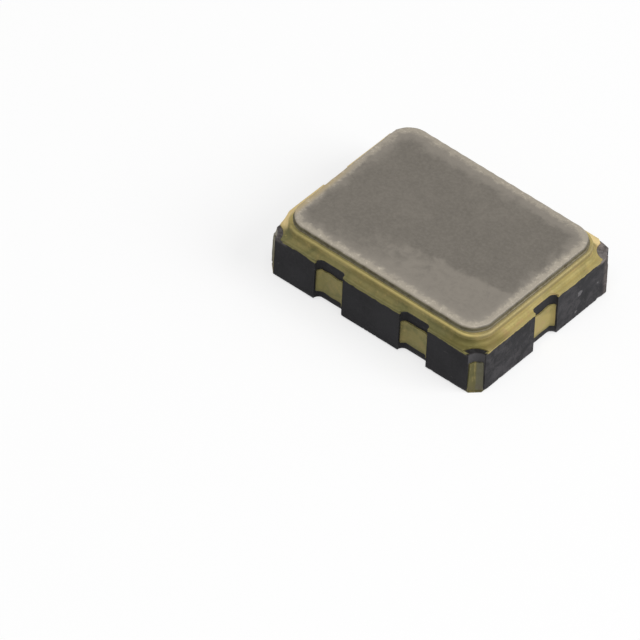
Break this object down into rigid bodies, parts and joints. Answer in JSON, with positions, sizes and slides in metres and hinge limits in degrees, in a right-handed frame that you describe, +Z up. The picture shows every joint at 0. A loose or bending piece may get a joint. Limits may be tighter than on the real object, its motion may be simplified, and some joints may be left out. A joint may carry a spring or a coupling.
{
  "type": "crystal oscillator",
  "caption": "Surface-mount crystal oscillator: a black ceramic package with gold-plated terminals, a brazed seal ring and a welded metal lid over a quartz blank and its die.",
  "frame": {"origin": "middle of the package, on the plane that the undersides of the terminals lie in", "axes": "+X along the package away from the terminal with the index tab, +Y across it, +Z up through the lid"},
  "size_m": [0.0032, 0.0024, 0.0008],
  "materials": {
    "ceramic": "matt fired ceramic, black",
    "gold_plating": "satin gold plating",
    "ring_metal": "satin gold plating on the ring",
    "lid_metal": "matt nickel, warm grey",
    "silicon": "polished silicon",
    "die_pad_metal": "bright",
    "gold_wire": "bright gold",
    "silver_glue": "silver-filled, matt",
    "quartz": "lapped quartz, slightly frosted",
    "electrode_film": "evaporated metal film"
  },
  "bodies": {
    "root": {"ceramic_base": "ceramic", "braze_land": "gold_plating", "seal_ring": "ring_metal", "lid": "lid_metal", "terminal_1": "gold_plating", "terminal_2": "gold_plating", "terminal_3": "gold_plating", "terminal_4": "gold_plating", "side_contact_1": "gold_plating", "side_contact_2": "gold_plating", "side_contact_3": "gold_plating", "side_contact_4": "gold_plating", "side_contact_5": "gold_plating", "side_contact_6": "gold_plating", "die_attach_pad": "gold_plating", "die_attach_glue": "silver_glue", "oscillator_die": "silicon", "die_bond_pads": "die_pad_metal", "bond_finger_1": "gold_plating", "bond_finger_2": "gold_plating", "bond_finger_3": "gold_plating", "bond_finger_4": "gold_plating", "bond_finger_5": "gold_plating", "bond_finger_6": "gold_plating", "bond_wire_1": "gold_wire", "bond_wire_2": "gold_wire", "bond_wire_3": "gold_wire", "bond_wire_4": "gold_wire", "bond_wire_5": "gold_wire", "bond_wire_6": "gold_wire", "crystal_pad_1": "gold_plating", "crystal_pad_2": "gold_plating", "crystal_glue_1": "silver_glue", "crystal_glue_2": "silver_glue", "crystal_blank": "quartz", "electrode_top": "electrode_film", "electrode_bottom": "electrode_film"}
  },
  "joints": []
}
